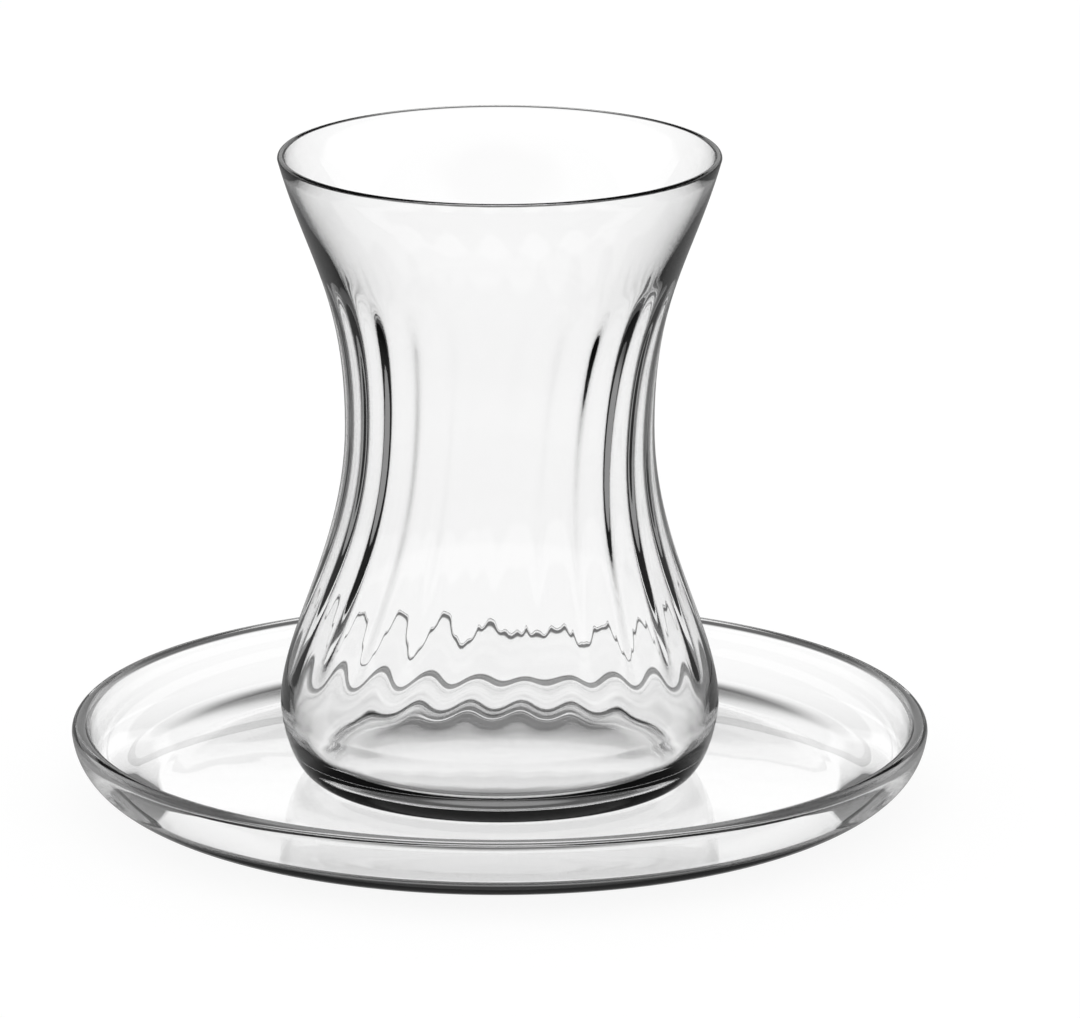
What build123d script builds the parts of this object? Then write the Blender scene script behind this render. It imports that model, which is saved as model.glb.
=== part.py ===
from build123d import *
from math import cos, pi, radians, sin
import os

# Tulip tea glass with swirled optic flutes, standing on its shallow glass saucer.
# Millimetres, +Z up. The origin is on the axis, at the level the saucer rests on.

# Saucer
saucer_radius = 56.0  # outside of the lip
lip_level = 9.0  # height of the widest line of the lip
lip_width = 2.4  # the lip is a full round of this width
floor_thickness = 2.1
foot_ring_inset = 11.5  # the outside of the ring it rests on is this far inside the lip
foot_ring_width = 1.5
foot_ring_height = 0.9  # the underside inside the ring is hollowed this much
outer_wall_pull = (4.5, 0.8)  # how the outer wall leaves the ring, outward and up
outer_wall_rise = (0.8, 6.2)  # how it comes up to the lip, inward and down
inner_floor_inset = 8.5  # the flat floor ends this far inside the lip
inner_floor_pull = 4.5
inner_wall_rise = (0.4, 3.9)  # how the inner wall comes up to the lip, inward and down

# Glass, heights above its own foot
foot_inset = 5.15  # the flat foot ends this far inside the belly
foot_pull = 4.0  # how far the heel runs out before it turns up
belly_radius = 28.65
belly_height = 9.5
belly_turn_down = 1.4
belly_turn_up = 9.4
waist_radius = 20.1
waist_height = 46.8
waist_turn_down = 16.6
waist_turn_up = 17.6
rim_radius = 28.7
rim_height = 82.35
flare_angle = 15.5  # of the wall at the rim, from the vertical
rim_turn = 13.3
base_thickness = 1.9
rest_width = 4.5  # of the flat ring it stands on; inside that it is slightly hollow
push_up_height = 0.6
rim_wall = 0.9
waist_wall = 2.6
belly_wall = 1.2
inner_base_inset = 3.5  # the flat inner floor ends this far inside the foot
inner_base_pull = 5.5
inner_belly_lift = 1.0  # the cavity is widest this much above the belly
inner_belly_turn_down = 5.5
inner_belly_turn_up = 11.0
inner_waist_turn_down = 19.0

# Optic flutes inside the glass
flute_count = 24
flute_depth = 0.45
flute_bottom_gap = 3.0  # the flutes start this far above the belly
flute_top_gap = 13.35  # and end this far below the rim
flute_run_in = 8.0  # the flutes reach full depth over this height
flute_swirl = 15.0  # turn from the bottom to the top of the flutes
flute_start = -3.0  # turn of the flutes at their bottom
flute_sections = 20
points_per_flute = 6
flute_relief = 0.08  # the whole fluted band is let into the plain wall by this much

# A shallow hollow is an arc that keeps this share of its height halfway out
hollow_share = 0.75

glass_level = foot_ring_height + floor_thickness
saucer_inner_radius = saucer_radius - lip_width
foot_ring_radius = saucer_radius - foot_ring_inset
inner_floor_radius = saucer_radius - inner_floor_inset
foot_radius = belly_radius - foot_inset
push_up_radius = foot_radius - rest_width
inner_base_radius = foot_radius - inner_base_inset
flute_bottom = belly_height + flute_bottom_gap
flute_top = rim_height - flute_top_gap


def curve_point(start, first_pull, second_pull, end, share):
    """A point on the cubic curve with these four control points."""
    rest = 1 - share
    weights = (rest**3, 3 * rest**2 * share, 3 * rest * share**2, share**3)
    corners = (start, first_pull, second_pull, end)
    x = sum(w * p[0] for w, p in zip(weights, corners))
    y = sum(w * p[1] for w, p in zip(weights, corners))
    return (x, y)


def smooth_step(share):
    """0 below 0, 1 above 1, and a smooth climb between."""
    share = min(1.0, max(0.0, share))
    return share * share * (3 - 2 * share)


def lift(points, height):
    return [(x, y + height) for x, y in points]


# Outline of the outside of the glass, foot to belly to waist to rim
flare = radians(flare_angle)
belly = (belly_radius, belly_height)
waist = (waist_radius, waist_height)
rim = (rim_radius, rim_height)
heel_curve = lift(
    [
        (foot_radius, 0),
        (foot_radius + foot_pull, 0),
        (belly_radius, belly_height - belly_turn_down),
        belly,
    ],
    glass_level,
)
lower_curve = lift(
    [
        belly,
        (belly_radius, belly_height + belly_turn_up),
        (waist_radius, waist_height - waist_turn_down),
        waist,
    ],
    glass_level,
)
upper_curve = lift(
    [
        waist,
        (waist_radius, waist_height + waist_turn_up),
        (rim_radius - rim_turn * sin(flare), rim_height - rim_turn * cos(flare)),
        rim,
    ],
    glass_level,
)

# Outline of the cavity, with its own heights where the wall thickens
cavity_belly = (belly_radius - belly_wall, belly_height + inner_belly_lift)
cavity_waist = (waist_radius - waist_wall, waist_height)
cavity_rim = (rim_radius - rim_wall, rim_height)
cavity_heel = lift(
    [
        (inner_base_radius, base_thickness),
        (inner_base_radius + inner_base_pull, base_thickness),
        (cavity_belly[0], cavity_belly[1] - inner_belly_turn_down),
        cavity_belly,
    ],
    glass_level,
)
cavity_lower = lift(
    [
        cavity_belly,
        (cavity_belly[0], cavity_belly[1] + inner_belly_turn_up),
        (cavity_waist[0], waist_height - inner_waist_turn_down),
        cavity_waist,
    ],
    glass_level,
)
cavity_upper = lift(
    [
        cavity_waist,
        (cavity_waist[0], waist_height + waist_turn_up),
        (cavity_rim[0] - rim_turn * sin(flare), rim_height - rim_turn * cos(flare)),
        cavity_rim,
    ],
    glass_level,
)


def cavity_radius(height):
    """Radius of the plain cavity wall at a height, found by halving the curve."""
    curve = cavity_lower if height < cavity_waist[1] + glass_level else cavity_upper
    low, high = 0.0, 1.0
    for _ in range(40):
        middle = (low + high) / 2
        if curve_point(*curve, middle)[1] < height:
            low = middle
        else:
            high = middle
    return curve_point(*curve, low)[0]


def flute_outline(height):
    """Closed scalloped outline of the flute cutter at a height above the foot."""
    run = flute_top - flute_bottom
    from_end = min(height - flute_bottom, flute_top - height)
    strength = smooth_step(from_end / flute_run_in)
    turn = radians(flute_start + flute_swirl * (height - flute_bottom) / run)
    base = cavity_radius(height + glass_level) + flute_relief
    count = flute_count * points_per_flute
    outline = []
    for step in range(count):
        angle = 2 * pi * step / count
        wave = (1 - cos(flute_count * angle)) / 2
        radius = base + flute_depth * strength * wave
        outline.append((radius * cos(angle + turn), radius * sin(angle + turn)))
    return outline


# The saucer: one turned dish with a foot ring, a flat floor and a full round lip
with BuildPart() as saucer:
    with BuildSketch(Plane.XZ):
        with BuildLine():
            ring_inside = foot_ring_radius - foot_ring_width
            Line((0, glass_level), (0, foot_ring_height))
            ThreePointArc(
                (0, foot_ring_height),
                (ring_inside / 2, foot_ring_height * hollow_share),
                (ring_inside, 0),
            )
            Line((ring_inside, 0), (foot_ring_radius, 0))
            Bezier(
                (foot_ring_radius, 0),
                (foot_ring_radius + outer_wall_pull[0], outer_wall_pull[1]),
                (saucer_radius - outer_wall_rise[0], lip_level - outer_wall_rise[1]),
                (saucer_radius, lip_level),
            )
            ThreePointArc(
                (saucer_radius, lip_level),
                (saucer_radius - lip_width / 2, lip_level + lip_width / 2),
                (saucer_inner_radius, lip_level),
            )
            Bezier(
                (saucer_inner_radius, lip_level),
                (saucer_inner_radius - inner_wall_rise[0], lip_level - inner_wall_rise[1]),
                (inner_floor_radius + inner_floor_pull, glass_level),
                (inner_floor_radius, glass_level),
            )
            Line((inner_floor_radius, glass_level), (0, glass_level))
        make_face()
    revolve(axis=Axis.Z)

# The cutter for the flutes: scalloped outlines, each turned a little further
with BuildPart() as flute_cutter:
    for index in range(flute_sections):
        level = flute_bottom + (flute_top - flute_bottom) * index / (flute_sections - 1)
        with BuildSketch(Plane.XY.offset(level + glass_level)):
            with BuildLine():
                outline = flute_outline(level)
                knots = [knot / len(outline) for knot in range(len(outline) + 1)]
                add(Edge.make_spline(outline, periodic=True, parameters=knots))
            make_face()
    loft()

# The glass: a turned tulip with a heavy base and a rounded rim, fluted inside
with BuildPart() as tea_glass:
    with BuildSketch(Plane.XZ):
        with BuildLine():
            push_up_level = glass_level + push_up_height
            cavity_floor = glass_level + base_thickness
            Line((0, cavity_floor), (0, push_up_level))
            ThreePointArc(
                (0, push_up_level),
                (push_up_radius / 2, glass_level + push_up_height * hollow_share),
                (push_up_radius, glass_level),
            )
            Line((push_up_radius, glass_level), (foot_radius, glass_level))
            Bezier(*heel_curve)
            Bezier(*lower_curve)
            Bezier(*upper_curve)
            rim_crest = (rim_radius - rim_wall / 2, rim_height + rim_wall / 2 + glass_level)
            ThreePointArc(upper_curve[-1], rim_crest, cavity_upper[-1])
            Bezier(*reversed(cavity_upper))
            Bezier(*reversed(cavity_lower))
            Bezier(*reversed(cavity_heel))
            Line((inner_base_radius, cavity_floor), (0, cavity_floor))
        make_face()
    revolve(axis=Axis.Z)
    add(flute_cutter.part, mode=Mode.SUBTRACT)

saucer.part.label = "saucer"
tea_glass.part.label = "tea_glass"

os.makedirs("parts", exist_ok=True)
export_step(saucer.part, "parts/saucer.step")
export_step(tea_glass.part, "parts/tea_glass.step")
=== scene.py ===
from math import atan2, cos, radians, sin

import bpy
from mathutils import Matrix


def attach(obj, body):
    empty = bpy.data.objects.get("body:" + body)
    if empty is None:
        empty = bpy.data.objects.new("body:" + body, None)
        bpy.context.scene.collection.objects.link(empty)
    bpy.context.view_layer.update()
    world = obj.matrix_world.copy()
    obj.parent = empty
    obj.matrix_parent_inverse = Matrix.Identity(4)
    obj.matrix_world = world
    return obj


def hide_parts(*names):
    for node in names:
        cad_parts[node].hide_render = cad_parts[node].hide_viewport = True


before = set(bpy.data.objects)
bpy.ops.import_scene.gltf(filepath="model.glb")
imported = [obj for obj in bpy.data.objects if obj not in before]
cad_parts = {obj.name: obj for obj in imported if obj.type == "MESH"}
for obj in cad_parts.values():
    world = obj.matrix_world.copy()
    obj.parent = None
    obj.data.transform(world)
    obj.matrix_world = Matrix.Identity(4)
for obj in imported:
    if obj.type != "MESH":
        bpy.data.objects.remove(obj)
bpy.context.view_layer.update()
print("frame loaded")

mm = 0.001
weld = 0.000001  # points nearer than this are merged, in metres
smoothAngle = 32  # edges flatter than this are shaded smooth, in degrees


def cubicRun(start, firstPull, secondPull, end, steps):
    # points along a cubic curve, the start left out
    run = []
    for step in range(1, steps + 1):
        t = step / steps
        weights = ((1 - t) ** 3, 3 * (1 - t) ** 2 * t, 3 * (1 - t) * t * t, t**3)
        corners = (start, firstPull, secondPull, end)
        run.append(tuple(sum(w * c[k] for w, c in zip(weights, corners)) for k in (0, 1)))
    return run


def straightRun(start, end, steps):
    return [tuple(a + (b - a) * step / steps for a, b in zip(start, end)) for step in range(1, steps + 1)]


def arcRun(centre, radius, fromAngle, toAngle, steps):
    # points along an arc, the start left out, angles in degrees from outward to up
    angles = [radians(fromAngle + (toAngle - fromAngle) * step / steps) for step in range(1, steps + 1)]
    return [(centre[0] + radius * cos(a), centre[1] + radius * sin(a)) for a in angles]


def lifted(points, height):
    return [(x, y + height) for x, y in points]


def turnOutline(name, outline, around):
    # a ring is drawn out along the outline, which starts and ends on the axis
    bpy.ops.object.select_all(action="DESELECT")
    first = outline[1]
    bpy.ops.mesh.primitive_circle_add(
        vertices=around, radius=first[0] * mm, fill_type="TRIFAN", location=(0, 0, outline[0][1] * mm)
    )
    piece = bpy.context.object
    piece.name = name
    bpy.ops.object.transform_apply(location=True, rotation=True, scale=True)
    bpy.ops.object.mode_set(mode="EDIT")
    bpy.ops.mesh.select_all(action="DESELECT")
    bpy.ops.mesh.select_non_manifold()  # the open edge of the first disc
    last = (first[0], outline[0][1])
    for radius, height in outline[1:-1]:
        if (radius, height) != last:
            bpy.ops.mesh.extrude_region_move(
                TRANSFORM_OT_translate={"value": (0, 0, (height - last[1]) * mm)}
            )
            grow = radius / last[0]
            bpy.ops.transform.resize(value=(grow, grow, 1), center_override=(0, 0, height * mm))
        last = (radius, height)
    bpy.ops.mesh.extrude_region_move(TRANSFORM_OT_translate={"value": (0, 0, 0)})
    bpy.ops.mesh.merge(type="CENTER")  # closes the pole
    bpy.ops.mesh.select_all(action="SELECT")
    bpy.ops.mesh.remove_doubles(threshold=weld)
    bpy.ops.mesh.normals_make_consistent(inside=False)
    bpy.ops.object.mode_set(mode="OBJECT")
    return piece


saucer = {
    "radius": 56.0,
    "lipLevel": 9.0,
    "lipWidth": 2.4,
    "floorThickness": 2.1,
    "ringRadius": 44.5,
    "ringWidth": 1.5,
    "ringHeight": 0.9,
    "outerPull": (4.5, 0.8),
    "outerRise": (0.8, 6.2),
    "floorRadius": 47.5,
    "floorPull": 4.5,
    "innerRise": (0.4, 3.9),
    "around": 360,
    "poleRadius": 2,  # the last ring before the centre
    "steps": {"hollow": 24, "ring": 4, "outer": 36, "lip": 20, "inner": 32, "floor": 12},
}


def saucerOutline(s):
    floor = s["ringHeight"] + s["floorThickness"]
    ringInside = s["ringRadius"] - s["ringWidth"]
    inside = s["radius"] - s["lipWidth"]
    lipRound = s["lipWidth"] / 2
    steps = s["steps"]
    outline = [(0, s["ringHeight"])]
    hollow = [ringInside * step / steps["hollow"] for step in range(1, steps["hollow"] + 1)]
    outline += [(r, s["ringHeight"] * (1 - (r / ringInside) ** 2)) for r in hollow]
    outline += straightRun((ringInside, 0), (s["ringRadius"], 0), steps["ring"])
    outline += cubicRun(
        (s["ringRadius"], 0),
        (s["ringRadius"] + s["outerPull"][0], s["outerPull"][1]),
        (s["radius"] - s["outerRise"][0], s["lipLevel"] - s["outerRise"][1]),
        (s["radius"], s["lipLevel"]),
        steps["outer"],
    )
    outline += arcRun((s["radius"] - lipRound, s["lipLevel"]), lipRound, 0, 180, steps["lip"])
    outline += cubicRun(
        (inside, s["lipLevel"]),
        (inside - s["innerRise"][0], s["lipLevel"] - s["innerRise"][1]),
        (s["floorRadius"] + s["floorPull"], floor),
        (s["floorRadius"], floor),
        steps["inner"],
    )
    outline += straightRun((s["floorRadius"], floor), (s["poleRadius"], floor), steps["floor"])
    outline.append((0, floor))
    return outline


glass = {
    "footRadius": 23.5,
    "footPull": 4.0,
    "belly": (28.65, 9.5),
    "bellyDown": 1.4,
    "bellyUp": 9.4,
    "waist": (20.1, 46.8),
    "waistDown": 16.6,
    "waistUp": 17.6,
    "rim": (28.7, 82.35),
    "flare": 15.5,
    "rimTurn": 13.3,
    "base": 1.9,
    "pushUpRadius": 19.0,
    "pushUp": 0.6,
    "rimWall": 0.9,
    "waistWall": 2.6,
    "bellyWall": 1.2,
    "innerBase": 20.0,
    "innerBasePull": 5.5,
    "innerBellyLift": 1.0,
    "innerBellyDown": 5.5,
    "innerBellyUp": 11.0,
    "innerWaistDown": 19.0,
    "around": 384,
    "seatGap": 0.05,  # a hair of air between the foot and the saucer
    "poleRadius": 2,
    "wallMiddle": 0.4,  # nearer the axis than this inside the outside, it is the cavity wall
    "steps": {
        "hollow": 12, "rest": 4, "heel": 22, "outer": 24, "rim": 12,
        "inner": 34, "innerHeel": 22, "floor": 4, "probe": 40,
    },
}

flutes = {"count": 24, "depth": 0.45, "bottom": 12.5, "top": 69.0, "runIn": 8.0, "swirl": 15.0, "start": -3.0}


def glassOutline(g, level):
    flare = radians(g["flare"])
    turn = (g["rimTurn"] * sin(flare), g["rimTurn"] * cos(flare))
    foot = (g["footRadius"], 0)
    belly, waist, rim = g["belly"], g["waist"], g["rim"]
    inBelly = (belly[0] - g["bellyWall"], belly[1] + g["innerBellyLift"])
    inWaist = (waist[0] - g["waistWall"], waist[1])
    inRim = (rim[0] - g["rimWall"], rim[1])
    inBase = (g["innerBase"], g["base"])
    half = g["rimWall"] / 2
    steps = g["steps"]
    outline = [(0, g["pushUp"])]
    hollow = [g["pushUpRadius"] * step / steps["hollow"] for step in range(1, steps["hollow"] + 1)]
    outline += [(r, g["pushUp"] * (1 - (r / g["pushUpRadius"]) ** 2)) for r in hollow]
    outline += straightRun((g["pushUpRadius"], 0), foot, steps["rest"])
    outline += cubicRun(
        foot, (foot[0] + g["footPull"], 0), (belly[0], belly[1] - g["bellyDown"]), belly, steps["heel"]
    )
    outline += cubicRun(
        belly, (belly[0], belly[1] + g["bellyUp"]), (waist[0], waist[1] - g["waistDown"]),
        waist, steps["outer"],
    )
    outline += cubicRun(
        waist, (waist[0], waist[1] + g["waistUp"]), (rim[0] - turn[0], rim[1] - turn[1]), rim, steps["outer"]
    )
    outline += arcRun((rim[0] - half, rim[1]), half, 0, 180, steps["rim"])
    outline += cubicRun(
        inRim, (inRim[0] - turn[0], inRim[1] - turn[1]), (inWaist[0], inWaist[1] + g["waistUp"]),
        inWaist, steps["inner"],
    )
    outline += cubicRun(
        inWaist, (inWaist[0], inWaist[1] - g["innerWaistDown"]), (inBelly[0], inBelly[1] + g["innerBellyUp"]),
        inBelly, steps["inner"],
    )
    outline += cubicRun(
        inBelly, (inBelly[0], inBelly[1] - g["innerBellyDown"]), (inBase[0] + g["innerBasePull"], inBase[1]),
        inBase, steps["innerHeel"],
    )
    outline += straightRun(inBase, (g["poleRadius"], g["base"]), steps["floor"])
    outline.append((0, g["base"]))
    return lifted(outline, level)


def pressFlutes(piece, g, f, level):
    # the cavity wall is pushed back into the glass along turning flutes
    bottom, top = f["bottom"] + level, f["top"] + level
    for vertex in piece.data.vertices:
        x, y, z = (c / mm for c in vertex.co)
        radius = (x * x + y * y) ** 0.5
        fromEnd = min(z - bottom, top - z)
        if fromEnd <= 0 or not insideWall(g, radius, z - level):
            continue
        share = min(1.0, fromEnd / f["runIn"])
        strength = share * share * (3 - 2 * share)
        turn = radians(f["start"] + f["swirl"] * (z - bottom) / (top - bottom))
        wave = (1 - cos(f["count"] * (atan2(y, x) - turn))) / 2
        grow = (radius + f["depth"] * strength * wave) / radius
        vertex.co.x *= grow
        vertex.co.y *= grow


def insideWall(g, radius, height):
    # true for the cavity wall, false for the outside
    return radius < outerRadius(g, height) - g["wallMiddle"]


def outerRadius(g, height):
    flare = radians(g["flare"])
    turn = (g["rimTurn"] * sin(flare), g["rimTurn"] * cos(flare))
    belly, waist, rim = g["belly"], g["waist"], g["rim"]
    if height < waist[1]:
        run = cubicRun(
            belly, (belly[0], belly[1] + g["bellyUp"]), (waist[0], waist[1] - g["waistDown"]),
            waist, g["steps"]["probe"],
        )
    else:
        run = cubicRun(
            waist, (waist[0], waist[1] + g["waistUp"]), (rim[0] - turn[0], rim[1] - turn[1]),
            rim, g["steps"]["probe"],
        )
    return min(run, key=lambda point: abs(point[1] - height))[0]


finish = {
    "tint": (1.0, 1.0, 1.0),
    "bending": 1.5,
    "waveDetail": 1.0,
    "bump": 0.15,
    "bumpDepth": 0.0002,
    "roughest": 0.03,
    "saucerWaves": 90,
    "glassWaves": 110,
}


def clearGlass(name, f, waveScale):
    material = bpy.data.materials.new(name)
    material.use_nodes = True
    nodes, links = material.node_tree.nodes, material.node_tree.links
    shader = nodes["Principled BSDF"]
    shader.inputs["Base Color"].default_value = (*f["tint"], 1)
    shader.inputs["Transmission Weight"].default_value = 1.0
    shader.inputs["IOR"].default_value = f["bending"]
    place = nodes.new("ShaderNodeTexCoord")
    waves = nodes.new("ShaderNodeTexNoise")  # the faint waviness of fire polished glass
    waves.inputs["Scale"].default_value = waveScale
    waves.inputs["Detail"].default_value = f["waveDetail"]
    bump = nodes.new("ShaderNodeBump")
    bump.inputs["Strength"].default_value = f["bump"]
    bump.inputs["Distance"].default_value = f["bumpDepth"]
    polish = nodes.new("ShaderNodeMapRange")
    polish.inputs["To Min"].default_value = 0.0
    polish.inputs["To Max"].default_value = f["roughest"]
    links.new(place.outputs["Object"], waves.inputs["Vector"])
    links.new(waves.outputs["Fac"], bump.inputs["Height"])
    links.new(waves.outputs["Fac"], polish.inputs["Value"])
    links.new(polish.outputs["Result"], shader.inputs["Roughness"])
    links.new(bump.outputs["Normal"], shader.inputs["Normal"])
    return material


level = saucer["ringHeight"] + saucer["floorThickness"]

saucerPiece = turnOutline("SaucerGlass", saucerOutline(saucer), saucer["around"])
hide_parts("saucer")
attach(saucerPiece, "root")
saucerPiece.data.materials.append(clearGlass("saucerGlass", finish, finish["saucerWaves"]))
print("saucer made")

glassPiece = turnOutline("TeaGlass", glassOutline(glass, level + glass["seatGap"]), glass["around"])
pressFlutes(glassPiece, glass, flutes, level + glass["seatGap"])
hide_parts("tea_glass")
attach(glassPiece, "root")
glassPiece.data.materials.append(clearGlass("cupGlass", finish, finish["glassWaves"]))
print("glass made")

for piece in (saucerPiece, glassPiece):
    bpy.ops.object.select_all(action="DESELECT")
    piece.select_set(True)
    bpy.context.view_layer.objects.active = piece
    bpy.ops.object.shade_smooth_by_angle(angle=radians(smoothAngle))

# Directions are degrees above the horizon. Bright from lowest to highest, and again below steepest.
stage = {
    "floorSize": 6.0,
    "floorDrop": 0.0002,
    "floorGlow": 0.9,
    "floorGrey": 0.14,
    "darkness": 0.14,
    "highest": 12,
    "lowest": -27,
    "steepest": -48,
    "soft": 9,
    "reflected": 0.35,
    "darkest": 0.10,
    "through": 1.3,
    "strip": (9, 22),
    "stripSoft": 3,
    "stripGlow": 1.2,
}


def makeFloor(s):
    bpy.ops.object.select_all(action="DESELECT")
    bpy.ops.mesh.primitive_plane_add(size=s["floorSize"], location=(0, 0, -s["floorDrop"]))
    floor = bpy.context.object
    floor.name = "Floor"
    bpy.ops.object.transform_apply(location=True, rotation=True, scale=True)
    material = bpy.data.materials.new("paleFloor")
    material.use_nodes = True
    nodes, links = material.node_tree.nodes, material.node_tree.links
    nodes.clear()
    out = nodes.new("ShaderNodeOutputMaterial")
    path = nodes.new("ShaderNodeLightPath")
    glow = nodes.new("ShaderNodeEmission")
    glow.inputs["Strength"].default_value = s["floorGlow"]
    paint = nodes.new("ShaderNodeBsdfDiffuse")
    paint.inputs["Color"].default_value = (s["floorGrey"], s["floorGrey"], s["floorGrey"], 1)
    both = nodes.new("ShaderNodeAddShader")
    clear = nodes.new("ShaderNodeBsdfTransparent")
    bent = nodes.new("ShaderNodeMath")
    bent.operation = "MAXIMUM"
    pick = nodes.new("ShaderNodeMixShader")
    links.new(path.outputs["Is Glossy Ray"], bent.inputs[0])
    links.new(path.outputs["Is Transmission Ray"], bent.inputs[1])
    links.new(glow.outputs[0], both.inputs[0])
    links.new(paint.outputs[0], both.inputs[1])
    links.new(bent.outputs[0], pick.inputs[0])
    links.new(both.outputs[0], pick.inputs[1])
    links.new(clear.outputs[0], pick.inputs[2])
    links.new(pick.outputs[0], out.inputs["Surface"])
    floor.data.materials.append(material)
    return floor


def makeWorld(s):
    world = bpy.data.worlds.new("studio")
    bpy.context.scene.world = world
    world.use_nodes = True
    nodes, links = world.node_tree.nodes, world.node_tree.links
    nodes.clear()
    out = nodes.new("ShaderNodeOutputWorld")
    back = nodes.new("ShaderNodeBackground")
    path = nodes.new("ShaderNodeLightPath")
    place = nodes.new("ShaderNodeTexCoord")
    split = nodes.new("ShaderNodeSeparateXYZ")
    links.new(place.outputs["Generated"], split.inputs[0])

    def maths(operation, first, second):
        node = nodes.new("ShaderNodeMath")
        node.operation = operation
        for socket, value in zip(node.inputs, (first, second)):
            if isinstance(value, (int, float)):
                socket.default_value = value
            else:
                links.new(value, socket)
        return node.outputs[0]

    def ramp(value, fromMin, fromMax, toMin, toMax):
        node = nodes.new("ShaderNodeMapRange")
        node.interpolation_type = "SMOOTHSTEP"
        links.new(value, node.inputs["Value"])
        limits = {"From Min": fromMin, "From Max": fromMax, "To Min": toMin, "To Max": toMax}
        for label, number in limits.items():
            node.inputs[label].default_value = number
        return node.outputs["Result"]

    up = split.outputs["Z"]
    under = ramp(up, sin(radians(s["highest"])), sin(radians(s["highest"] + s["soft"])), 1, s["darkness"])
    over = ramp(up, sin(radians(s["lowest"] - s["soft"])), sin(radians(s["lowest"])), s["darkness"], 1)
    steep = ramp(up, sin(radians(s["steepest"] - s["soft"])), sin(radians(s["steepest"])), 1, s["darkness"])
    bright = maths("MINIMUM", under, maths("MAXIMUM", over, steep))
    bounced = maths("GREATER_THAN", path.outputs["Glossy Depth"], 0.5)  # 1 once a ray was mirrored
    low, high = s["strip"]  # what the flat floors of glass and saucer mirror
    rising = ramp(up, sin(radians(low - s["stripSoft"])), sin(radians(low)), 0, s["stripGlow"])
    falling = ramp(up, sin(radians(high)), sin(radians(high + s["stripSoft"])), s["stripGlow"], 0)
    dimmed = maths("MAXIMUM", maths("MULTIPLY", bright, s["reflected"]), s["darkest"])
    turned = maths("MAXIMUM", dimmed, maths("MINIMUM", rising, falling))
    direct = maths("MULTIPLY", maths("MULTIPLY", bright, s["through"]), maths("SUBTRACT", 1.0, bounced))
    seen = maths("ADD", direct, maths("MULTIPLY", turned, bounced))
    plain = maths("MAXIMUM", path.outputs["Is Camera Ray"], path.outputs["Is Diffuse Ray"])
    links.new(maths("MAXIMUM", seen, plain), back.inputs["Strength"])
    links.new(back.outputs[0], out.inputs["Surface"])


makeFloor(stage)
makeWorld(stage)
print("stage made")

view = {
    "lens": 316.67,
    "sensor": 36.0,
    "pitch": 15.17,
    "place": (0, -1193.66, 362.02),
    "shift": 0.0373,
    "farClip": 100,
}


def makeCamera(v):
    data = bpy.data.cameras.new("camera")
    data.lens = v["lens"]
    data.sensor_width = v["sensor"]
    data.shift_x = v["shift"]
    data.clip_end = v["farClip"]
    camera = bpy.data.objects.new("camera", data)
    bpy.context.scene.collection.objects.link(camera)
    camera.location = [c * mm for c in v["place"]]
    camera.rotation_euler = (radians(90 - v["pitch"]), 0, 0)
    bpy.context.scene.camera = camera


makeCamera(view)
bpy.context.scene.view_settings.view_transform = "Standard"
